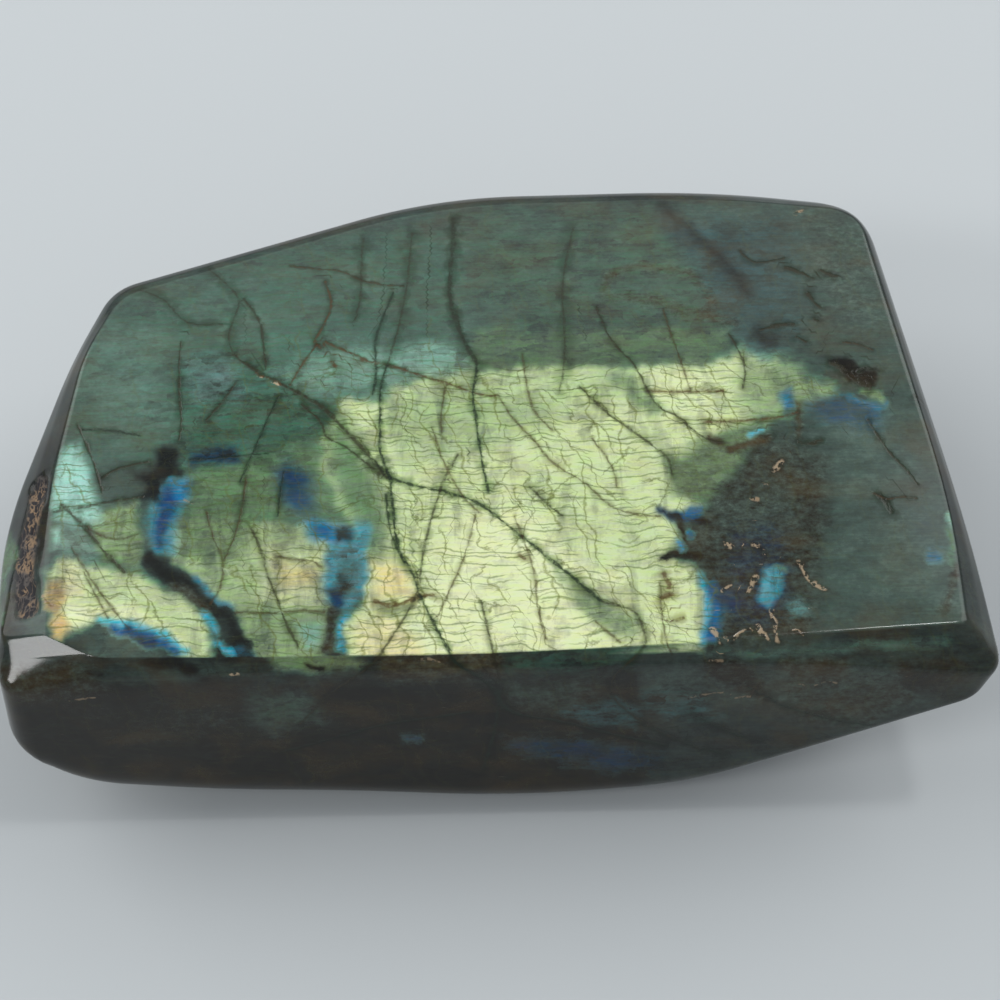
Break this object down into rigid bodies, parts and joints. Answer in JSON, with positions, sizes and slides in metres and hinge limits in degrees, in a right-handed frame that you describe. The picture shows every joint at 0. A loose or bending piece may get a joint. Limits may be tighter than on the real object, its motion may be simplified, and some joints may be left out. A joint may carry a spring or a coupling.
{
  "type": "labradorite freeform",
  "caption": "Hand-polished labradorite stone with a flat, iridescent face, bevelled rim, a cut foot to stand on and a rounded back with a small flat to lie on.",
  "frame": {"origin": "middle region of the small flat that the stone rests on, on its back", "axes": "+X along the stone's length, +Y from the cut foot to the curved top edge, +Z out of the polished face"},
  "size_m": [0.1526, 0.0965, 0.0409],
  "materials": {
    "labradorite": "polished dark feldspar with green, gold and blue flashes"
  },
  "bodies": {
    "root": {"stone": "labradorite"}
  },
  "joints": []
}
